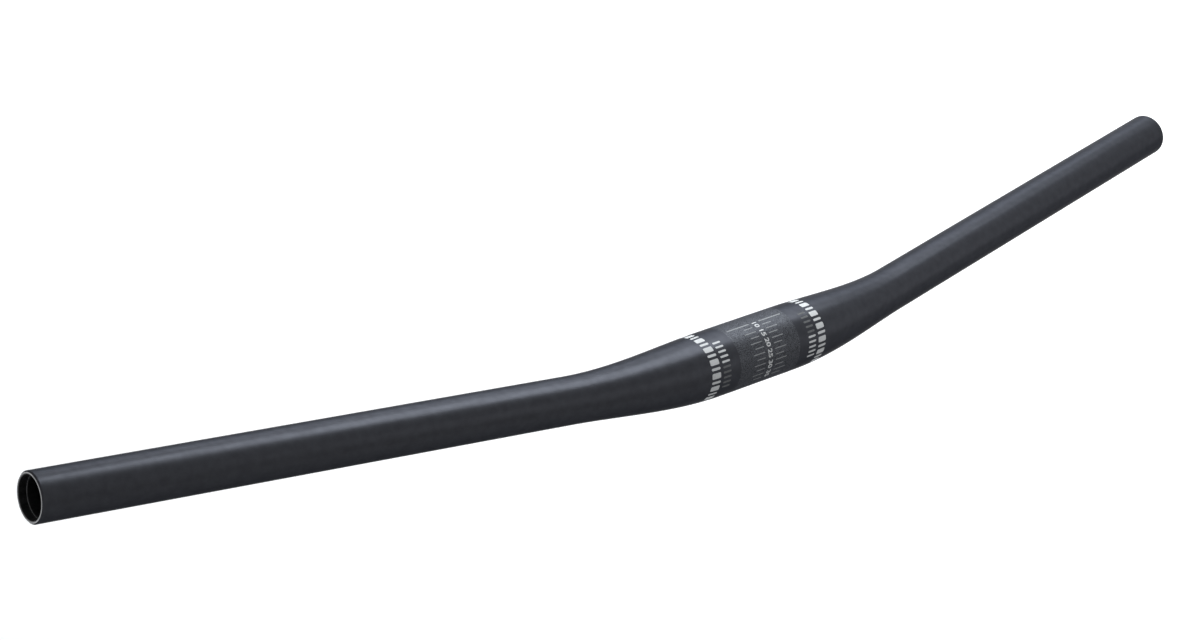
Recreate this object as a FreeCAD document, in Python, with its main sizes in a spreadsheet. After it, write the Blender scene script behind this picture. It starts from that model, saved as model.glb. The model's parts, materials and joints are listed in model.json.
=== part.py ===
import FreeCAD, Part
import math
import os
import Sketcher

# Flat handlebar: one butted aluminium tube, full size where the stem clamps it,
# then bent back and drawn down to the grip size on each side.
# Millimetres. The origin is the centre of the clamp, X runs along the clamp,
# the ends sweep back towards +Y and Z is up.

doc = FreeCAD.newDocument("flat_handlebar")

# Driving sizes
driving_sizes = {
    "overall_width": "760",      # between the centres of the two end faces
    "back_sweep": "9",           # degrees that each grip points behind the clamp axis
    "clamp_diameter": "31.8",    # outside, where the stem closes round the tube
    "clamp_length": "52",        # straight middle of the tube
    "bend_radius": "560",        # of the centre line between clamp and grip
    "grip_diameter": "22.2",     # outside, under grips and lever clamps
    "clamp_wall": "2.3",         # thickest part of the butted wall
    "grip_wall": "1.75",         # thinnest part, from the bend to the butt taper
    "end_wall": "2.1",           # thicker again towards the open ends
    "thick_end_length": "80",    # from the end face to the butt taper
    "butt_length": "20",         # inner taper from the thin wall to the end wall
    "rim_wall": "1.5",           # left at the mouth by the counterbore
    "counterbore_depth": "4",    # from the end face to the shoulder inside
    "outer_chamfer": "0.7",      # on the outside edge of the end face
    "inner_chamfer": "0.3",      # on the edge of the counterbore's mouth
}

sizes = doc.addObject("Spreadsheet::Sheet", "sizes")
for row, (alias, number) in enumerate(driving_sizes.items(), start=1):
    sizes.set(f"A{row}", alias.replace("_", " "))
    sizes.set(f"B{row}", number)
    sizes.setAlias(f"B{row}", alias)
doc.recompute()

# Sizes that follow from the sheet
half_clamp = "sizes.clamp_length / 2"
sweep = "sizes.back_sweep * 1 deg"
bend_end_x = f"({half_clamp} + sizes.bend_radius * sin({sweep}))"
grip_length = f"(sizes.overall_width / 2 - {bend_end_x}) / cos({sweep})"
clamp_bore = "(sizes.clamp_diameter - 2 * sizes.clamp_wall)"
grip_bore = "(sizes.grip_diameter - 2 * sizes.grip_wall)"
end_bore = "(sizes.grip_diameter - 2 * sizes.end_wall)"
rim_bore = "(sizes.grip_diameter - 2 * sizes.rim_wall)"

# Point codes of a sketch element, and the sketch's own axes
START = 1
END = 2
CENTRE = 3
AXES = -1

UP = FreeCAD.Vector(0, 0, 1)

# Circles across each bend, counted in steps from the clamp to the grip
BEND_STEPS = 8

body = doc.addObject("PartDesign::Body", "handlebar")
body.Label = "handlebar"
body.Placement = FreeCAD.Placement()
origin_planes = {plane.Role: plane for plane in body.Origin.OriginFeatures}


def add_sketch(name, support, element, map_mode, path_share=0.0):
    """A sketch attached to one of the body's own planes, or to a place along the bend."""
    sketch = body.newObject("Sketcher::SketchObject", name)
    sketch.AttachmentSupport = [(support, element)]
    sketch.MapMode = map_mode
    sketch.MapPathParameter = path_share
    return sketch


def bind_dimension(sketch, name, expression, kind, *elements):
    """A named dimension of a sketch, driven by the sheet."""
    value = sketch.evalExpression(expression)
    index = sketch.addConstraint(Sketcher.Constraint(kind, *elements, value))
    sketch.renameConstraint(index, name)
    sketch.setExpression(f"Constraints.{name}", expression)


def add_circle(sketch, diameter):
    """A circle about the sketch's own origin."""
    radius = sketch.evalExpression(diameter) / 2
    circle = sketch.addGeometry(Part.Circle(FreeCAD.Vector(), UP, radius))
    sketch.addConstraint(Sketcher.Constraint("Coincident", circle, CENTRE, AXES, START))
    bind_dimension(sketch, "diameter", diameter, "Diameter", circle)


def add_outline(sketch, corners):
    """Lines from corner to corner and back to the first. Returns the lines in that order."""
    points = [FreeCAD.Vector(x, y, 0) for x, y in corners]
    lines = []
    for point, next_point in zip(points, points[1:] + points[:1]):
        lines.append(sketch.addGeometry(Part.LineSegment(point, next_point)))
    for line, next_line in zip(lines, lines[1:] + lines[:1]):
        sketch.addConstraint(Sketcher.Constraint("Coincident", line, END, next_line, START))
    return lines


def add_straight(kind, name, sketch, length):
    """A straight length of tube, or of the hollow in it, outwards from its circle."""
    feature = body.newObject(kind, name)
    feature.Profile = sketch
    feature.setExpression("Length", length)
    return feature


def add_bend(kind, name, clamp_size, grip_size):
    """The bend, or the hollow in it, shrinking along a smooth S from the clamp's size to the grip's."""
    circles = []
    for step in range(BEND_STEPS + 1):
        share = step / BEND_STEPS
        eased = share * share * (3 - 2 * share)
        circle = add_sketch(f"{name}_circle_{step}", bend_path, "Edge1", "NormalToEdge", share)
        add_circle(circle, f"{clamp_size} + ({grip_size} - {clamp_size}) * {eased}")
        circles.append(circle)
    doc.recompute()
    pipe = body.newObject(kind, name)
    pipe.Profile = circles[0]
    pipe.Sections = circles[1:]
    pipe.Spine = (bend_path, ["Edge1"])
    pipe.Transformation = "Multisection"
    return pipe


def recompute_cut(cut):
    """Rebuild with a new cut, which has to take some of the tube away."""
    volume_before = cut.BaseFeature.Shape.Volume
    doc.recompute()
    if cut.Shape.Volume >= volume_before:
        raise RuntimeError(f"{cut.Name} takes nothing away")


def end_face_edge(shape, centre, radius):
    """Name of the circular edge of this radius about the middle of the end face."""
    for number, edge in enumerate(shape.Edges, start=1):
        curve = edge.Curve
        if not isinstance(curve, Part.Circle):
            continue
        if abs(curve.Radius - radius) < 1e-4 and curve.Center.distanceToPoint(centre) < 1e-4:
            return f"Edge{number}"
    raise RuntimeError(f"no edge of radius {radius} on the end face")


def add_end_chamfer(name, diameter, size):
    """A chamfer on one of the end face's two edges."""
    base = body.Tip
    edge = end_face_edge(base.Shape, end_centre, sizes.evalExpression(diameter) / 2)
    chamfer = body.newObject("PartDesign::Chamfer", name)
    chamfer.Base = (base, [edge])
    chamfer.setExpression("Size", size)
    recompute_cut(chamfer)


# Centre line of the bend: an arc that leaves the clamp along its axis
bend_path = add_sketch("bend_path", origin_planes["XY_Plane"], "", "FlatFace")
bend_centre = FreeCAD.Vector(sizes.clamp_length / 2, sizes.bend_radius, 0)
bend_circle = Part.Circle(bend_centre, UP, sizes.bend_radius)
clamp_side = math.radians(270)
grip_side = clamp_side + math.radians(sizes.back_sweep)
bend = bend_path.addGeometry(Part.ArcOfCircle(bend_circle, clamp_side, grip_side))
bend_path.addConstraint(Sketcher.Constraint("PointOnObject", bend, START, AXES))
bend_path.addConstraint(Sketcher.Constraint("Vertical", bend, START, bend, CENTRE))
bind_dimension(bend_path, "start", half_clamp, "DistanceX", AXES, START, bend, START)
bind_dimension(bend_path, "radius", "sizes.bend_radius", "Radius", bend)
bind_dimension(bend_path, "sweep", sweep, "Angle", bend)
doc.recompute()

# Outside of one half: clamp, tapered bend, grip
clamp_circle = add_sketch("clamp_circle", origin_planes["YZ_Plane"], "", "FlatFace")
add_circle(clamp_circle, "sizes.clamp_diameter")
add_straight("PartDesign::Pad", "clamp", clamp_circle, half_clamp)
doc.recompute()
add_bend("PartDesign::AdditivePipe", "bend_taper", "sizes.clamp_diameter", "sizes.grip_diameter")
doc.recompute()
grip_circle = add_sketch("grip_circle", bend_path, "Edge1", "NormalToEdge", 1.0)
add_circle(grip_circle, "sizes.grip_diameter")
grip = add_straight("PartDesign::Pad", "grip", grip_circle, grip_length)
grip.Reversed = True
doc.recompute()

# Inside of the clamp and the bend
clamp_bore_circle = add_sketch("clamp_bore_circle", origin_planes["YZ_Plane"], "", "FlatFace")
add_circle(clamp_bore_circle, clamp_bore)
clamp_hollow = add_straight("PartDesign::Pocket", "clamp_hollow", clamp_bore_circle, half_clamp)
clamp_hollow.Reversed = True
recompute_cut(clamp_hollow)
bend_hollow = add_bend("PartDesign::SubtractivePipe", "bend_hollow", clamp_bore, grip_bore)
recompute_cut(bend_hollow)

# Inside of the grip, turned about its axis: thin wall, butt taper, end wall and counterbore
end_x = grip.Length.Value
shoulder_x = end_x - sizes.counterbore_depth
thick_x = end_x - sizes.thick_end_length
thin_x = thick_x - sizes.butt_length
thin_y = sizes.evalExpression(grip_bore) / 2
thick_y = sizes.evalExpression(end_bore) / 2
rim_y = sizes.evalExpression(rim_bore) / 2
corners = (
    (0, 0),
    (0, thin_y),
    (thin_x, thin_y),
    (thick_x, thick_y),
    (shoulder_x, thick_y),
    (shoulder_x, rim_y),
    (end_x, rim_y),
    (end_x, 0),
)
grip_profile = add_sketch("grip_profile", bend_path, "Edge1", "FrenetTN", 1.0)
inner_face, thin, butt, thick, shoulder, rim, mouth, axis = add_outline(grip_profile, corners)
for line in (inner_face, shoulder, mouth):
    grip_profile.addConstraint(Sketcher.Constraint("Vertical", line))
for line in (thin, thick, rim, axis):
    grip_profile.addConstraint(Sketcher.Constraint("Horizontal", line))
grip_profile.addConstraint(Sketcher.Constraint("Coincident", inner_face, START, AXES, START))
bind_dimension(grip_profile, "length", grip_length, "DistanceX", axis, END, axis, START)
bind_dimension(grip_profile, "butt", "sizes.butt_length", "DistanceX", butt, START, butt, END)
bind_dimension(grip_profile, "thick_end", "sizes.thick_end_length", "DistanceX", thick, START, rim, END)
bind_dimension(grip_profile, "counterbore", "sizes.counterbore_depth", "DistanceX", rim, START, rim, END)
bind_dimension(grip_profile, "thin_radius", f"{grip_bore} / 2", "DistanceY", AXES, START, thin, START)
bind_dimension(grip_profile, "thick_radius", f"{end_bore} / 2", "DistanceY", AXES, START, thick, START)
bind_dimension(grip_profile, "rim_radius", f"{rim_bore} / 2", "DistanceY", AXES, START, rim, START)
grip_hollow = body.newObject("PartDesign::Groove", "grip_hollow")
grip_hollow.Profile = grip_profile
grip_hollow.ReferenceAxis = (grip_profile, ["H_Axis"])
grip_hollow.Angle = 360
recompute_cut(grip_hollow)

# Edges of the open end
end_centre = grip_profile.Placement.multVec(FreeCAD.Vector(end_x, 0, 0))
add_end_chamfer("outer_chamfer", "sizes.grip_diameter", "sizes.outer_chamfer")
add_end_chamfer("inner_chamfer", rim_bore, "sizes.inner_chamfer")

# The other half
half_volume = body.Shape.Volume
both_halves = body.newObject("PartDesign::Mirrored", "both_halves")
both_halves.TransformMode = "Whole shape"
both_halves.MirrorPlane = (origin_planes["YZ_Plane"], [""])
both_halves.Refine = True
body.Tip = both_halves
doc.recompute()

# Nothing is written unless every feature is sound and the tube is one whole solid
for item in doc.Objects:
    if "Invalid" in item.State or "Error" in item.State:
        raise RuntimeError(f"{item.Name} failed: {item.State}")
tube = body.Shape
if tube.isNull() or not tube.isValid() or len(tube.Solids) != 1:
    raise RuntimeError("the tube is not one valid solid")
if abs(tube.Volume - 2 * half_volume) > 1e-6 * tube.Volume:
    raise RuntimeError("the two halves do not make the whole tube")

os.makedirs("parts", exist_ok=True)
tube.exportStep(f"parts/{body.Label}.step")
print(f"{body.Label}: {tube.Volume / 1000:.2f} cubic centimetres")
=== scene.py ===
"""Look of the flat handlebar: a fine skin with clamp prints, studio light and camera.

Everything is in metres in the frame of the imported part: X runs along the bar to the right,
Y to the back and Z up, with the origin in the middle of the clamp. A place along the bar is
its distance s from the middle, counted along the bent centre line.
"""
import json
import math

import bmesh
import bpy
from mathutils import Matrix, Vector, noise


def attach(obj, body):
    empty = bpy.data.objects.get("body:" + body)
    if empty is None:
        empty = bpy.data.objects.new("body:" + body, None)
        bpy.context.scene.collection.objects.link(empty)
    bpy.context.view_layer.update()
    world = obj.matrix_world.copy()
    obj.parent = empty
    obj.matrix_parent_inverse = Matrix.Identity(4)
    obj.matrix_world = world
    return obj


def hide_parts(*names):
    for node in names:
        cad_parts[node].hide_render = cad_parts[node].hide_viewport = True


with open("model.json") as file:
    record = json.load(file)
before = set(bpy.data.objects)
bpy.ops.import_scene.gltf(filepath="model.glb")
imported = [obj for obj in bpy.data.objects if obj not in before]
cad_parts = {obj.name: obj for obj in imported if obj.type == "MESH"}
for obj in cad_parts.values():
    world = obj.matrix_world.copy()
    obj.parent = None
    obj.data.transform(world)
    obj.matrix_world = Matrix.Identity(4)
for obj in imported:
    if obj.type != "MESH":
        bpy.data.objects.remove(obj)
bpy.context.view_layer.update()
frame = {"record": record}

MM = 0.001

# Sizes of the open ends and of the inside
OUTER_CHAMFER = 0.7 * MM
INNER_CHAMFER = 0.3 * MM
COUNTERBORE_RADIUS = 9.6 * MM
COUNTERBORE_DEPTH = 4.0 * MM
THIN_BORE_RADIUS = 9.35 * MM
CLAMP_BORE_RADIUS = 13.6 * MM
BUTT_LENGTH = 20 * MM

# Rounding of the turned edges; the reach of its holding points is counted in roundings
EDGE_ROUNDING = 0.12 * MM
HOLDING_REACH = 1.2
ROUNDING_STEPS = 4

# Plain stretch of tube before the rounded corners of an end, outside and inside
CORNER_ROOM = 1 * MM

# Coat and prints in the clamp zone, on a skin that lies lower than the clamp by the print room
PRINT_ROOM = 0.06 * MM
PRINT_DEPTH = 0.02 * MM
BORDER_DROP = 0.002 * MM
INK_THICKNESS = 0.011 * MM
GRIT_HALF_LENGTH = 20.8 * MM
GRIT_FILM = 0.012 * MM
GRIT_HEIGHT = 0.03 * MM

# Grains of the coat, with a spacing in shape and one in shade; their reach is counted in spacings
GRAIN_SPACING = 0.45 * MM
GRAIN_SHADE_SPACING = 0.38 * MM
GRAIN_REACH = 0.6

# Fixed and varying shares of a grain's height, and the factor that picks where its chance value is read
GRAIN_BASE_SHARE = 0.35
GRAIN_SPREAD_SHARE = 0.65
GRAIN_PICK = 7.3

# Mesh fineness
RING_SEGMENTS = 160
CLAMP_STEP = 4 * MM
BEND_STEP = 2 * MM
GRIP_STEP = 6 * MM
INNER_BEND_STEP = 4 * MM
END_BORE_STEP = 12 * MM
GRIT_STEP = 0.23 * MM
INK_STEP = 0.25 * MM
FEWEST_BLOCK_ROWS = 6
FEWEST_BLOCK_COLUMNS = 4

# Material slots of the tube
ZONE_PAINT = 0
ZONE_RIM = 1
ZONE_BORE = 2
# Turned faces inside the open end take a darker copy of the rim metal, painted shade for the recess
ZONE_TURNED_SHADE = 3

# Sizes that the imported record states
mounts = {mount["name"]: mount for mount in frame["record"]["mounts"]}
clamp_dims = mounts["stem_clamp"]["dims"]
grip_dims = mounts["grip_right"]["dims"]
bore_dims = mounts["end_bore_right"]["dims"]
clamp_radius = clamp_dims["r_mm"] * MM
half_clamp = clamp_dims["length_mm"] * MM / 2
grip_radius = grip_dims["r_mm"] * MM
grip_wall_length = grip_dims["length_mm"] * MM
end_bore_radius = bore_dims["r_mm"] * MM
end_bore_length = bore_dims["length_mm"] * MM
skin_radius = clamp_radius - PRINT_ROOM

# The bent centre line, worked out from the place and direction of the right grip
grip_middle = Vector(mounts["grip_right"]["pos_m"])
grip_direction = Vector(mounts["grip_right"]["axis"])
sweep = math.atan2(grip_direction.y, grip_direction.x)
crossing_x = grip_middle.x - grip_middle.y / math.tan(sweep)
bend_radius = (crossing_x - half_clamp) / math.tan(sweep / 2)
bend_length = bend_radius * sweep

# Places along the bar
bend_end_s = half_clamp + bend_length
wall_end_s = bend_end_s + grip_wall_length
end_s = wall_end_s + OUTER_CHAMFER
shoulder_s = end_s - COUNTERBORE_DEPTH
end_bore_inner_s = shoulder_s - end_bore_length
butt_inner_s = end_bore_inner_s - BUTT_LENGTH


def ease(share):
    """Smooth step from 0 to 1."""
    share = min(max(share, 0.0), 1.0)
    return share * share * (3 - 2 * share)


def bend_share(s):
    """Share of the bend that lies before a place on the right half: below 0 before it, above 1 past it."""
    return (s - half_clamp) / bend_length


def outer_radius(s):
    """Radius of the skin."""
    return skin_radius + (grip_radius - skin_radius) * ease(bend_share(abs(s)))


def inner_radius(s):
    """Radius of the bore on the right half, up to the shoulder."""
    if s < bend_end_s:
        return CLAMP_BORE_RADIUS + (THIN_BORE_RADIUS - CLAMP_BORE_RADIUS) * ease(bend_share(s))
    share = (s - butt_inner_s) / BUTT_LENGTH
    share = min(max(share, 0.0), 1.0)
    return THIN_BORE_RADIUS + (end_bore_radius - THIN_BORE_RADIUS) * share


def bend_point(heading):
    """Point of the centre line in the right bend, where it has turned by a heading."""
    return Vector((
        half_clamp + bend_radius * math.sin(heading),
        bend_radius * (1 - math.cos(heading)),
        0,
    ))


def centre_line(s):
    """Point of the centre line and its heading."""
    side = -1 if s < 0 else 1
    distance = abs(s)
    if distance <= half_clamp:
        heading = 0.0
        point = Vector((distance, 0, 0))
    elif distance <= bend_end_s:
        heading = (distance - half_clamp) / bend_radius
        point = bend_point(heading)
    else:
        heading = sweep
        point = bend_point(sweep) + grip_direction * (distance - bend_end_s)
    return Vector((point.x * side, point.y, 0)), heading * side


def tube_point(s, angle, radius):
    """Point round the centre line; angle 0 is the front (-Y) and a quarter turn is the top (+Z)."""
    centre, heading = centre_line(s)
    front = Vector((math.sin(heading), -math.cos(heading), 0))
    return centre + front * (radius * math.cos(angle)) + Vector((0, 0, radius * math.sin(angle)))


def surface_point(s, angle, lift):
    """Point on the outer skin, raised by lift."""
    return tube_point(s, angle, outer_radius(s) + lift)


# Mesh helpers

def ring_angles(count):
    """Even angles of one turn."""
    return [2 * math.pi * step / count for step in range(count)]


def join_rings(bm, first, second):
    """Faces between two rings with the same number of points."""
    faces = []
    for step in range(len(first)):
        beside = (step + 1) % len(first)
        faces.append(bm.faces.new((first[step], first[beside], second[beside], second[step])))
    return faces


def add_piece(name, bm, materials):
    """Turns a closed mesh into a smooth piece of the part that rides on its one body."""
    bmesh.ops.recalc_face_normals(bm, faces=bm.faces)
    mesh = bpy.data.meshes.new(name)
    bm.to_mesh(mesh)
    bm.free()
    for material in materials:
        mesh.materials.append(material)
    mesh.polygons.foreach_set("use_smooth", [True] * len(mesh.polygons))
    mesh.update()
    piece = bpy.data.objects.new(name, mesh)
    bpy.context.scene.collection.objects.link(piece)
    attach(piece, "root")
    return piece


# Procedural materials

# A noise pattern's values lie mostly between these two
PATTERN_LOW = 0.3
PATTERN_HIGH = 0.7

# Pattern scales along and across the bar, which stretch the drawing marks lengthwise
DRAWN_OUTSIDE = (0.06, 1, 1)
DRAWN_INSIDE = (0.04, 1, 1)

# Gloss of the black finishes at grazing angles
GRAZING_TINT = (0.4, 0.4, 0.4, 1)


def start_material(name):
    """A material with its node tree, main shader and object coordinates."""
    material = bpy.data.materials.new(name)
    material.use_nodes = True
    tree = material.node_tree
    shader = tree.nodes["Principled BSDF"]
    coordinates = tree.nodes.new("ShaderNodeTexCoord").outputs["Object"]
    return material, tree, shader, coordinates


def noise_value(tree, coordinates, scale, detail, stretch=(1, 1, 1)):
    """A noise pattern's value; scale counts features per metre."""
    mapping = tree.nodes.new("ShaderNodeMapping")
    mapping.inputs["Scale"].default_value = stretch
    tree.links.new(coordinates, mapping.inputs["Vector"])
    texture = tree.nodes.new("ShaderNodeTexNoise")
    texture.inputs["Scale"].default_value = scale
    texture.inputs["Detail"].default_value = detail
    tree.links.new(mapping.outputs["Vector"], texture.inputs["Vector"])
    return texture.outputs["Fac"]


def grain_value(tree, coordinates):
    """A pattern of cells: the distance to the middle of the nearest grain, in grain spacings."""
    cells = tree.nodes.new("ShaderNodeTexVoronoi")
    cells.inputs["Scale"].default_value = 1 / GRAIN_SHADE_SPACING
    tree.links.new(coordinates, cells.inputs["Vector"])
    return cells.outputs["Distance"]


def colour_by(tree, shader, pattern, low_colour, high_colour, low=PATTERN_LOW, high=PATTERN_HIGH):
    """Colours a surface between two shades, as a pattern's value goes from low to high."""
    ramp = tree.nodes.new("ShaderNodeValToRGB")
    ramp.color_ramp.elements[0].position = low
    ramp.color_ramp.elements[0].color = (*low_colour, 1)
    ramp.color_ramp.elements[1].position = high
    ramp.color_ramp.elements[1].color = (*high_colour, 1)
    tree.links.new(pattern, ramp.inputs["Fac"])
    tree.links.new(ramp.outputs["Color"], shader.inputs["Base Color"])


def roughen_by(tree, shader, pattern, low_roughness, high_roughness):
    """Makes a surface's roughness follow a noise pattern."""
    span = tree.nodes.new("ShaderNodeMapRange")
    span.inputs["From Min"].default_value = PATTERN_LOW
    span.inputs["From Max"].default_value = PATTERN_HIGH
    span.inputs["To Min"].default_value = low_roughness
    span.inputs["To Max"].default_value = high_roughness
    tree.links.new(pattern, span.inputs["Value"])
    tree.links.new(span.outputs["Result"], shader.inputs["Roughness"])


def bump_by(tree, shader, pattern, strength, depth):
    """Bends the shading normal as if a pattern stood out by a depth."""
    bump = tree.nodes.new("ShaderNodeBump")
    bump.inputs["Strength"].default_value = strength
    bump.inputs["Distance"].default_value = depth
    tree.links.new(pattern, bump.inputs["Height"])
    tree.links.new(bump.outputs["Normal"], shader.inputs["Normal"])


def satin_paint(name, dark, light):
    """Satin finish with a fine grain and faint lengthwise drawing marks."""
    material, tree, shader, coordinates = start_material(name)
    shader.inputs["Metallic"].default_value = 0.47
    shader.inputs["Specular IOR Level"].default_value = 0.0
    shader.inputs["Specular Tint"].default_value = GRAZING_TINT
    cloud = noise_value(tree, coordinates, scale=260, detail=4)
    colour_by(tree, shader, cloud, dark, light)
    marks = noise_value(tree, coordinates, scale=420, detail=3, stretch=DRAWN_OUTSIDE)
    roughen_by(tree, shader, marks, low_roughness=0.31, high_roughness=0.35)
    grain = noise_value(tree, coordinates, scale=3200, detail=2)
    bump_by(tree, shader, grain, strength=0.25, depth=0.02 * MM)
    return material


def turned_metal(name, dark, light):
    """Turned bare metal with fine tool marks."""
    material, tree, shader, coordinates = start_material(name)
    shader.inputs["Metallic"].default_value = 1.0
    cloud = noise_value(tree, coordinates, scale=900, detail=3)
    colour_by(tree, shader, cloud, dark, light)
    roughen_by(tree, shader, cloud, low_roughness=0.3, high_roughness=0.44)
    marks = noise_value(tree, coordinates, scale=5000, detail=2)
    bump_by(tree, shader, marks, strength=0.3, depth=0.01 * MM)
    return material


def drawn_bore(name, dark, light):
    """Dull inside of the drawn tube, with streaks along it."""
    material, tree, shader, coordinates = start_material(name)
    shader.inputs["Specular IOR Level"].default_value = 0.3
    streaks = noise_value(tree, coordinates, scale=700, detail=4, stretch=DRAWN_INSIDE)
    colour_by(tree, shader, streaks, dark, light)
    roughen_by(tree, shader, streaks, low_roughness=0.42, high_roughness=0.58)
    bump_by(tree, shader, streaks, strength=0.3, depth=0.03 * MM)
    return material


def grit_paint(name, dark, light):
    """Gripping coat with grains that are light in the middle."""
    material, tree, shader, coordinates = start_material(name)
    shader.inputs["Metallic"].default_value = 0.36
    shader.inputs["Specular IOR Level"].default_value = 0.0
    shader.inputs["Specular Tint"].default_value = GRAZING_TINT
    grains = grain_value(tree, coordinates)
    colour_by(tree, shader, grains, light, dark, low=0.2, high=0.75)
    cloud = noise_value(tree, coordinates, scale=900, detail=3)
    roughen_by(tree, shader, cloud, low_roughness=0.38, high_roughness=0.48)
    grain = noise_value(tree, coordinates, scale=3000, detail=2)
    bump_by(tree, shader, grain, strength=0.3, depth=0.03 * MM)
    return material


def ink(name, dark, light):
    """Printed ink with a dull metallic sheen and fine mottling."""
    material, tree, shader, coordinates = start_material(name)
    shader.inputs["Metallic"].default_value = 0.5
    shader.inputs["Specular IOR Level"].default_value = 0.0
    mottle = noise_value(tree, coordinates, scale=1500, detail=3)
    colour_by(tree, shader, mottle, dark, light)
    roughen_by(tree, shader, mottle, low_roughness=0.72, high_roughness=0.8)
    bump_by(tree, shader, mottle, strength=0.2, depth=0.02 * MM)
    return material


satin_black = satin_paint("satin_black", dark=(0.0389, 0.0404, 0.0465), light=(0.0466, 0.0485, 0.0557))
bare_rim = turned_metal("bare_rim", dark=(0.2, 0.2, 0.205), light=(0.34, 0.34, 0.345))
# Darker copy of the rim metal for the shoulder and inner chamfer: painted shade in the recess of the open
# end
turned_painted_shade = turned_metal("turned_painted_shade", dark=(0.08, 0.08, 0.083), light=(0.135, 0.135, 0.14))
dull_bore = drawn_bore("dull_bore", dark=(0.006, 0.006, 0.0065), light=(0.016, 0.016, 0.0165))
grit_coat = grit_paint("grit_coat", dark=(0.033, 0.0345, 0.0392), light=(0.118, 0.123, 0.1375))
ink_white = ink("ink_white", dark=(0.505, 0.515, 0.522), light=(0.604, 0.613, 0.62))
ink_grey = ink("ink_grey", dark=(0.232, 0.241, 0.25), light=(0.321, 0.33, 0.339))
ink_dim = ink("ink_dim", dark=(0.116, 0.12, 0.125), light=(0.178, 0.183, 0.187))


# The tube

def spaced(start, stop, step):
    """Even places from start up to, but not including, stop."""
    count = max(1, round((stop - start) / step))
    return [start + (stop - start) * index / count for index in range(count)]


def rounded_corner(before, corner, after):
    """Profile points that round a corner, with one holding point on each side."""
    to_before = (before - corner).normalized()
    to_after = (after - corner).normalized()
    start = corner + to_before * EDGE_ROUNDING
    stop = corner + to_after * EDGE_ROUNDING
    points = [corner + to_before * EDGE_ROUNDING * HOLDING_REACH]
    for step in range(ROUNDING_STEPS + 1):
        share = step / ROUNDING_STEPS
        points.append(start.lerp(corner, share).lerp(corner.lerp(stop, share), share))
    points.append(corner + to_after * EDGE_ROUNDING * HOLDING_REACH)
    return points


def half_profile():
    """Profile of the right half, first outwards along the skin and then back along the bore.

    Each point is its place along the bar, its radius and the zone of the band that follows it.
    """
    outer_stop = wall_end_s - CORNER_ROOM
    inner_stop = shoulder_s - CORNER_ROOM
    outside = spaced(0, half_clamp, CLAMP_STEP)
    outside += spaced(half_clamp, bend_end_s, BEND_STEP)
    outside += spaced(bend_end_s, outer_stop, GRIP_STEP)
    inside = spaced(0, bend_end_s, INNER_BEND_STEP)
    inside += spaced(bend_end_s, end_bore_inner_s, GRIP_STEP)
    inside += spaced(end_bore_inner_s, inner_stop, END_BORE_STEP)
    corners = [
        (outer_stop, grip_radius, ZONE_PAINT),
        (wall_end_s, grip_radius, ZONE_PAINT),
        (end_s, grip_radius - OUTER_CHAMFER, ZONE_RIM),
        (end_s, COUNTERBORE_RADIUS + INNER_CHAMFER, ZONE_TURNED_SHADE),
        (end_s - INNER_CHAMFER, COUNTERBORE_RADIUS, ZONE_BORE),
        (shoulder_s, COUNTERBORE_RADIUS, ZONE_TURNED_SHADE),
        (shoulder_s, end_bore_radius, ZONE_BORE),
        (inner_stop, end_bore_radius, ZONE_BORE),
    ]
    profile = [(s, outer_radius(s), ZONE_PAINT) for s in outside]
    profile.append(corners[0])
    for index in range(1, len(corners) - 1):
        before, corner, after = (Vector(place[:2]) for place in corners[index - 1:index + 2])
        for point in rounded_corner(before, corner, after):
            profile.append((point.x, point.y, corners[index][2]))
    profile.append(corners[-1])
    profile += [(s, inner_radius(s), ZONE_BORE) for s in reversed(inside)]
    return profile


def build_tube():
    """The whole closed tube, ring by ring: outer skin, rims and bores."""
    half = half_profile()
    loop = list(half)
    for index in range(len(half) - 2, 0, -1):
        s, radius = half[index][:2]
        loop.append((-s, radius, half[index - 1][2]))
    bm = bmesh.new()
    rings = []
    for s, radius, zone in loop:
        ring = [bm.verts.new(tube_point(s, angle, radius)) for angle in ring_angles(RING_SEGMENTS)]
        rings.append((ring, zone))
    for index, (ring, zone) in enumerate(rings):
        following = rings[(index + 1) % len(rings)][0]
        for face in join_rings(bm, ring, following):
            face.material_index = zone
    return bm


tube = add_piece("tube", build_tube(), [satin_black, bare_rim, dull_bore, turned_painted_shade])
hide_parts("handlebar")


# The gripping coat in the clamp zone

def grit_lift(s, angle):
    """Height of the gripping coat over the skin: a thin film with rounded grains on it."""
    place = Vector((s, clamp_radius * math.cos(angle), clamp_radius * math.sin(angle))) / GRAIN_SPACING
    distances, middles = noise.voronoi(place)
    crown = 1 - ease(distances[0] / GRAIN_REACH)
    size = GRAIN_BASE_SHARE + GRAIN_SPREAD_SHARE * noise.cell(middles[0] * GRAIN_PICK)
    return GRIT_FILM + GRIT_HEIGHT * crown * abs(size)


def build_grit():
    """A band of coat round the clamp, let down to the skin along both edges and closed below it."""
    row_count = round(2 * GRIT_HALF_LENGTH / GRIT_STEP)
    angles = ring_angles(round(2 * math.pi * clamp_radius / GRIT_STEP))
    bm = bmesh.new()
    rings = []
    for row in range(row_count + 1):
        s = -GRIT_HALF_LENGTH + 2 * GRIT_HALF_LENGTH * row / row_count
        edge = row in (0, row_count)
        ring = []
        for angle in angles:
            lift = -BORDER_DROP if edge else grit_lift(s, angle)
            ring.append(bm.verts.new(surface_point(s, angle, lift)))
        rings.append(ring)
    for row in range(row_count):
        join_rings(bm, rings[row], rings[row + 1])
    under = []
    for s in (-GRIT_HALF_LENGTH, GRIT_HALF_LENGTH):
        under.append([bm.verts.new(surface_point(s, angle, -PRINT_DEPTH)) for angle in angles])
    join_rings(bm, rings[0], under[0])
    join_rings(bm, under[0], under[1])
    join_rings(bm, under[1], rings[-1])
    for ring in (rings[0], rings[-1]):
        for step in range(len(ring)):
            bm.edges.get((ring[step - 1], ring[step])).smooth = False
    return bm


add_piece("grit_band", build_grit(), [grit_coat])


# Prints

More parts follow.
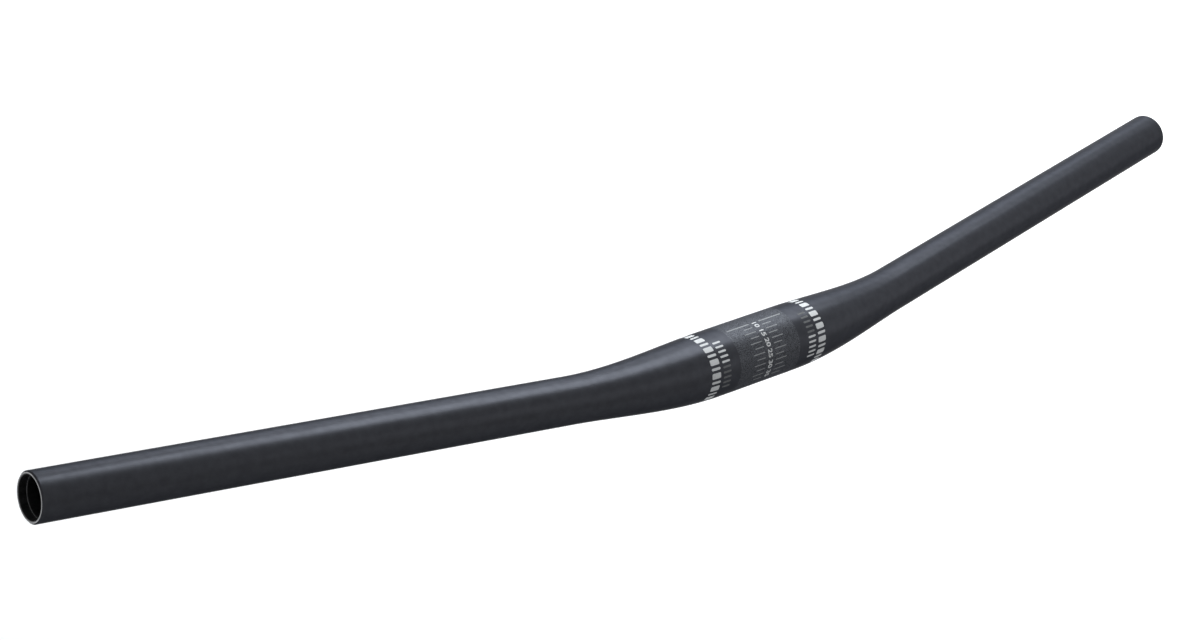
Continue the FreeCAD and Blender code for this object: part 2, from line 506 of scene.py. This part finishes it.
def lift_on_grit(s, angle):
    """Height of ink on the grains of the coat."""
    return grit_lift(s, angle) + INK_THICKNESS


def lift_on_paint(s, angle):
    """Height of ink on the smooth skin, the same everywhere."""
    return INK_THICKNESS


def close_print(bm, faces, places):
    """Closes a printed sheet with an underside below the skin and a wall along its border.

    places gives the place along the bar and the angle of each point of the sheet.
    """
    under = {}
    for vert, (s, angle) in places.items():
        under[vert] = bm.verts.new(surface_point(s, angle, -PRINT_DEPTH))
    borders = [edge for face in faces for edge in face.edges if edge.is_boundary]
    for face in faces:
        bm.faces.new([under[vert] for vert in reversed(face.verts[:])])
    for edge in borders:
        first, second = edge.verts
        bm.faces.new((first, second, under[second], under[first]))
        edge.smooth = False


def add_block(bm, s_low, s_high, angle_low, angle_high, corner, lift_at):
    """A printed block with rounded corners, its border let down into the skin."""
    middle = (s_low + s_high) / 2
    half_width = (s_high - s_low) / 2
    arc_radius = outer_radius(middle)
    length = (angle_high - angle_low) * arc_radius
    row_count = max(FEWEST_BLOCK_ROWS, round(length / INK_STEP))
    column_count = max(FEWEST_BLOCK_COLUMNS, round(2 * half_width / INK_STEP))
    rows = []
    places = {}
    for row in range(row_count + 1):
        along = length * row / row_count
        from_end = max(0.0, min(along, length - along))
        inset = 0.0
        if from_end < corner:
            inset = corner - math.sqrt(max(0.0, from_end * (2 * corner - from_end)))
        angle = angle_low + along / arc_radius
        line = []
        for column in range(column_count + 1):
            across = 2 * column / column_count - 1
            s = middle + across * (half_width - inset)
            border = row in (0, row_count) or column in (0, column_count)
            lift = -BORDER_DROP if border else lift_at(s, angle)
            vert = bm.verts.new(surface_point(s, angle, lift))
            places[vert] = (s, angle)
            line.append(vert)
        rows.append(line)
    faces = []
    for lower, upper in zip(rows, rows[1:]):
        for column in range(column_count):
            corners = (lower[column], lower[column + 1], upper[column + 1], upper[column])
            faces.append(bm.faces.new(corners))
    close_print(bm, faces, places)


# Marks of the angle scale

SCALE_START = math.radians(99.45)
SCALE_STEP = math.radians(9.71)
SCALE_MARKS = 12
MARK_INNER = 3.4 * MM
SHORT_MARK_OUTER = 9.5 * MM
LONG_MARK_OUTER = 11.4 * MM
FIRST_MARK_OUTER = 18.7 * MM
MARK_WIDTH = 0.55 * MM
FIRST_MARK_WIDTH = 0.85 * MM
MARK_CORNER = 0.12 * MM


def build_scale():
    """Marks on both sides of the middle: one long first mark, then short and long ones in turn."""
    bm = bmesh.new()
    for index in range(SCALE_MARKS):
        angle = SCALE_START - SCALE_STEP * index
        outer = SHORT_MARK_OUTER if index % 2 else LONG_MARK_OUTER
        width = MARK_WIDTH
        if index == 0:
            outer = FIRST_MARK_OUTER
            width = FIRST_MARK_WIDTH
        half_angle = width / clamp_radius / 2
        for s_low, s_high in ((-outer, -MARK_INNER), (MARK_INNER, outer)):
            add_block(bm, s_low, s_high, angle - half_angle, angle + half_angle, MARK_CORNER, lift_on_grit)
    return bm


add_piece("scale_marks", build_scale(), [ink_grey])


# Numbers of the angle scale

NUMBER_FIRST = 10
NUMBER_STEP = 5
NUMBER_COUNT = SCALE_MARKS // 2
NUMBER_MARKS = 2
NUMBER_OFFSET = 0.5
NUMBER_HEIGHT = 2.8 * MM
NUMBER_CELL = 0.25 * MM
NUMBER_MERGE = 0.006 * MM
NUMBER_BOLDNESS = 0.09 * MM
NUMBER_STRETCH = 1.15
NUMBER_BORDER_SHARE = 0.8
FONT_CAP_SHARE = 0.73


def number_mesh(text):
    """Flat outline of a number, centred, cut into small cells so that it can be wrapped round the bar."""
    curve = bpy.data.curves.new("number", "FONT")
    curve.body = text
    curve.size = NUMBER_HEIGHT / FONT_CAP_SHARE
    curve.offset = NUMBER_BOLDNESS
    curve.align_x = "CENTER"
    curve.align_y = "CENTER"
    holder = bpy.data.objects.new("number", curve)
    flat = bpy.data.meshes.new_from_object(holder)
    bpy.data.objects.remove(holder)
    bpy.data.curves.remove(curve)
    bm = bmesh.new()
    bm.from_mesh(flat)
    bpy.data.meshes.remove(flat)
    bmesh.ops.scale(bm, vec=(NUMBER_STRETCH, 1, 1), verts=bm.verts)
    for axis in (Vector((1, 0, 0)), Vector((0, 1, 0))):
        places = [vert.co.dot(axis) for vert in bm.verts]
        first = math.floor(min(places) / NUMBER_CELL)
        last = math.ceil(max(places) / NUMBER_CELL)
        for index in range(first, last + 1):
            bmesh.ops.bisect_plane(
                bm,
                geom=bm.verts[:] + bm.edges[:] + bm.faces[:],
                plane_co=axis * (index * NUMBER_CELL),
                plane_no=axis,
            )
    bmesh.ops.remove_doubles(bm, verts=bm.verts[:], dist=NUMBER_MERGE)
    return bm


def build_numbers():
    """Plain numbers in the middle, one for each pair of marks, that read downwards round the bar."""
    whole = bmesh.new()
    for index in range(NUMBER_COUNT):
        angle = SCALE_START - SCALE_STEP * (NUMBER_MARKS * index + NUMBER_OFFSET)
        bm = number_mesh(str(NUMBER_FIRST + NUMBER_STEP * index))
        low = min(vert.co.y for vert in bm.verts)
        high = max(vert.co.y for vert in bm.verts)
        middle = (low + high) / 2
        borders = {vert for edge in bm.edges if edge.is_boundary for vert in edge.verts}
        places = {}
        for vert in bm.verts:
            s = vert.co.y - middle
            place = angle - vert.co.x / clamp_radius
            lift = lift_on_grit(s, place)
            if vert in borders:
                lift -= INK_THICKNESS * NUMBER_BORDER_SHARE
            vert.co = surface_point(s, place, lift)
            places[vert] = (s, place)
        close_print(bm, bm.faces[:], places)
        number = bpy.data.meshes.new("number")
        bm.to_mesh(number)
        bm.free()
        whole.from_mesh(number)
        bpy.data.meshes.remove(number)
    return whole


add_piece("scale_numbers", build_numbers(), [ink_white])


# Rings of blocks beside the clamp

RING_UNITS = 15
RING_MIDDLE = 36.8 * MM
RING_WIDTH = 5.4 * MM
RING_CORNER = 0.5 * MM
WIDE_BLOCK = math.radians(10)
NARROW_BLOCK = math.radians(4.5)
BLOCK_GAP = math.radians(4.75)


def build_index_rings():
    """A ring of wide and narrow blocks on each side of the clamp."""
    bm = bmesh.new()
    unit = 2 * math.pi / RING_UNITS
    for side in (-1, 1):
        s_low = side * RING_MIDDLE - RING_WIDTH / 2
        s_high = side * RING_MIDDLE + RING_WIDTH / 2
        for index in range(RING_UNITS):
            start = unit * index
            add_block(bm, s_low, s_high, start, start + WIDE_BLOCK, RING_CORNER, lift_on_paint)
            start += WIDE_BLOCK + BLOCK_GAP
            add_block(bm, s_low, s_high, start, start + NARROW_BLOCK, RING_CORNER, lift_on_paint)
    return bm


add_piece("index_rings", build_index_rings(), [ink_white])


# Short rows of blocks between the rings and the coat

ROW_BLOCKS = 10
ROW_MIDDLE = 29.8 * MM
ROW_WIDTH = 5.0 * MM
ROW_CORNER = 0.4 * MM
ROW_START = math.radians(2)
ROW_STEP = math.radians(9.0)
ROW_BLOCK = math.radians(3.6)


def build_index_rows():
    """A row of narrow blocks inside each ring, half of them pale and half of them grey."""
    pale = bmesh.new()
    grey = bmesh.new()
    for side in (-1, 1):
        s_low = side * ROW_MIDDLE - ROW_WIDTH / 2
        s_high = side * ROW_MIDDLE + ROW_WIDTH / 2
        for index in range(ROW_BLOCKS):
            start = ROW_START + ROW_STEP * index
            upper = index >= ROW_BLOCKS // 2
            tone = pale if upper == (side < 0) else grey
            add_block(tone, s_low, s_high, start, start + ROW_BLOCK, ROW_CORNER, lift_on_paint)
    return pale, grey


pale_row, grey_row = build_index_rows()
add_piece("index_row_pale", pale_row, [ink_white])
add_piece("index_row_grey", grey_row, [ink_dim])


# Floor

FLOOR_DROP = 0.25
FLOOR_HALF = 12.0
FLOOR_COLOUR = (0.6, 0.6, 0.6, 1)

# The floor's own white rises from its near level to full white between two distances from the bar's middle
GLOW_NEAR = 0.57
GLOW_START = 0.3
GLOW_FULL = 1.5


def combined(tree, operation, first, second):
    """Result of an operation on two values."""
    node = tree.nodes.new("ShaderNodeMath")
    node.operation = operation
    tree.links.new(first, node.inputs[0])
    tree.links.new(second, node.inputs[1])
    return node.outputs[0]


def shown_rays(tree):
    """1 for rays that show the surroundings: from the camera, in gloss and through glass; 0 otherwise."""
    path = tree.nodes.new("ShaderNodeLightPath").outputs
    seen = combined(tree, "MAXIMUM", path["Is Camera Ray"], path["Is Glossy Ray"])
    return combined(tree, "MAXIMUM", seen, path["Is Transmission Ray"])


def floor_material():
    """White floor that keeps a soft shadow near the bar and stays white far from the lamps."""
    material = bpy.data.materials.new("white_floor")
    material.use_nodes = True
    tree = material.node_tree
    tree.nodes.remove(tree.nodes["Principled BSDF"])
    diffuse = tree.nodes.new("ShaderNodeBsdfDiffuse")
    diffuse.inputs["Color"].default_value = FLOOR_COLOUR
    glow = tree.nodes.new("ShaderNodeEmission")
    place = tree.nodes.new("ShaderNodeTexCoord").outputs["Object"]
    reach = tree.nodes.new("ShaderNodeVectorMath")
    reach.operation = "LENGTH"
    tree.links.new(place, reach.inputs[0])
    level = tree.nodes.new("ShaderNodeMapRange")
    level.interpolation_type = "SMOOTHSTEP"
    level.inputs["From Min"].default_value = GLOW_START
    level.inputs["From Max"].default_value = GLOW_FULL
    level.inputs["To Min"].default_value = GLOW_NEAR
    tree.links.new(reach.outputs["Value"], level.inputs["Value"])
    shown_level = combined(tree, "MULTIPLY", level.outputs["Result"], shown_rays(tree))
    tree.links.new(shown_level, glow.inputs["Strength"])
    total = tree.nodes.new("ShaderNodeAddShader")
    tree.links.new(diffuse.outputs["BSDF"], total.inputs[0])
    tree.links.new(glow.outputs["Emission"], total.inputs[1])
    tree.links.new(total.outputs["Shader"], tree.nodes["Material Output"].inputs["Surface"])
    return material


def build_floor():
    """A wide flat floor below the bar."""
    corners = [
        (-FLOOR_HALF, -FLOOR_HALF, -FLOOR_DROP),
        (FLOOR_HALF, -FLOOR_HALF, -FLOOR_DROP),
        (FLOOR_HALF, FLOOR_HALF, -FLOOR_DROP),
        (-FLOOR_HALF, FLOOR_HALF, -FLOOR_DROP),
    ]
    mesh = bpy.data.meshes.new("floor")
    mesh.from_pydata(corners, [], [(0, 1, 2, 3)])
    mesh.materials.append(floor_material())
    floor = bpy.data.objects.new("floor", mesh)
    bpy.context.scene.collection.objects.link(floor)


build_floor()


# Light

WORLD_SHOWN = 1.0
WORLD_LIGHT = 0.05
WORLD_COLOUR = (1, 1, 1, 1)
COOL_WHITE = (0.93, 0.97, 1.0)
PLAIN_WHITE = (1.0, 1.0, 1.0)


def build_world():
    """White surroundings, dimmer as a source of light."""
    world = bpy.data.worlds.new("studio")
    world.use_nodes = True
    tree = world.node_tree
    background = tree.nodes["Background"]
    background.inputs["Color"].default_value = WORLD_COLOUR
    strength = tree.nodes.new("ShaderNodeMapRange")
    strength.inputs["To Min"].default_value = WORLD_LIGHT
    strength.inputs["To Max"].default_value = WORLD_SHOWN
    tree.links.new(shown_rays(tree), strength.inputs["Value"])
    tree.links.new(strength.outputs["Result"], background.inputs["Strength"])
    bpy.context.scene.world = world


def add_softbox(name, colour, radiance, size, bearing, elevation, distance):
    """A soft light aimed at the bar; bearing is counted in degrees from the back (+Y) to the right (+X)."""
    bearing = math.radians(bearing)
    elevation = math.radians(elevation)
    direction = Vector((
        math.cos(elevation) * math.sin(bearing),
        math.cos(elevation) * math.cos(bearing),
        math.sin(elevation),
    ))
    width, height = size
    lamp = bpy.data.lights.new(name, "AREA")
    lamp.shape = "RECTANGLE"
    lamp.size = width
    lamp.size_y = height
    lamp.energy = radiance * math.pi * width * height
    lamp.color = colour
    holder = bpy.data.objects.new(name, lamp)
    holder.location = direction * distance
    holder.rotation_euler = direction.to_track_quat("Z", "Y").to_euler()
    bpy.context.scene.collection.objects.link(holder)


build_world()
add_softbox("key", COOL_WHITE, radiance=11.2, size=(1.0, 1.1),
            bearing=60, elevation=49, distance=2.2)
add_softbox("back_light", COOL_WHITE, radiance=5.7, size=(1.2, 0.9),
            bearing=44, elevation=25, distance=2.4)
add_softbox("low_light", COOL_WHITE, radiance=4.75, size=(2.0, 0.8),
            bearing=46, elevation=11, distance=2.4)
add_softbox("right_light", PLAIN_WHITE, radiance=0.55, size=(0.5, 0.5),
            bearing=100, elevation=30, distance=1.1)
add_softbox("front_light", PLAIN_WHITE, radiance=0.7, size=(0.5, 0.5),
            bearing=150, elevation=30, distance=1.1)
add_softbox("right_low_light", PLAIN_WHITE, radiance=1.2, size=(0.8, 0.6),
            bearing=120, elevation=12, distance=1.6)


# Camera at the photograph's viewing angle

CAMERA_PLACE = Vector((-1.107458, -0.656046, 0.898499))
CAMERA_AZIMUTH = math.radians(-56.097)
CAMERA_ELEVATION = math.radians(35.503)
CAMERA_ROLL = math.radians(22.74)
FOCAL_PIXELS = 3331.8
IMAGE_WIDTH = 1180
SENSOR_WIDTH = 36.0
NEAREST_SHOWN = 0.05
FARTHEST_SHOWN = 50


def build_camera():
    """Camera from its place, its viewing angles and its focal length in pixels of the photograph."""
    forward = Vector((
        -math.sin(CAMERA_AZIMUTH) * math.cos(CAMERA_ELEVATION),
        math.cos(CAMERA_AZIMUTH) * math.cos(CAMERA_ELEVATION),
        -math.sin(CAMERA_ELEVATION),
    ))
    level_right = forward.cross(Vector((0, 0, 1))).normalized()
    level_up = level_right.cross(forward)
    right = level_right * math.cos(CAMERA_ROLL) + level_up * math.sin(CAMERA_ROLL)
    up = level_up * math.cos(CAMERA_ROLL) - level_right * math.sin(CAMERA_ROLL)
    rotation = Matrix((right, up, -forward)).transposed()
    lens = bpy.data.cameras.new("camera")
    lens.sensor_fit = "HORIZONTAL"
    lens.sensor_width = SENSOR_WIDTH
    lens.lens = SENSOR_WIDTH * FOCAL_PIXELS / IMAGE_WIDTH
    lens.clip_start = NEAREST_SHOWN
    lens.clip_end = FARTHEST_SHOWN
    camera = bpy.data.objects.new("camera", lens)
    camera.matrix_world = Matrix.Translation(CAMERA_PLACE) @ rotation.to_4x4()
    bpy.context.scene.collection.objects.link(camera)
    bpy.context.scene.camera = camera


build_camera()
bpy.context.scene.view_settings.view_transform = "Standard"

# Bring the scene up to date
bpy.context.view_layer.update()
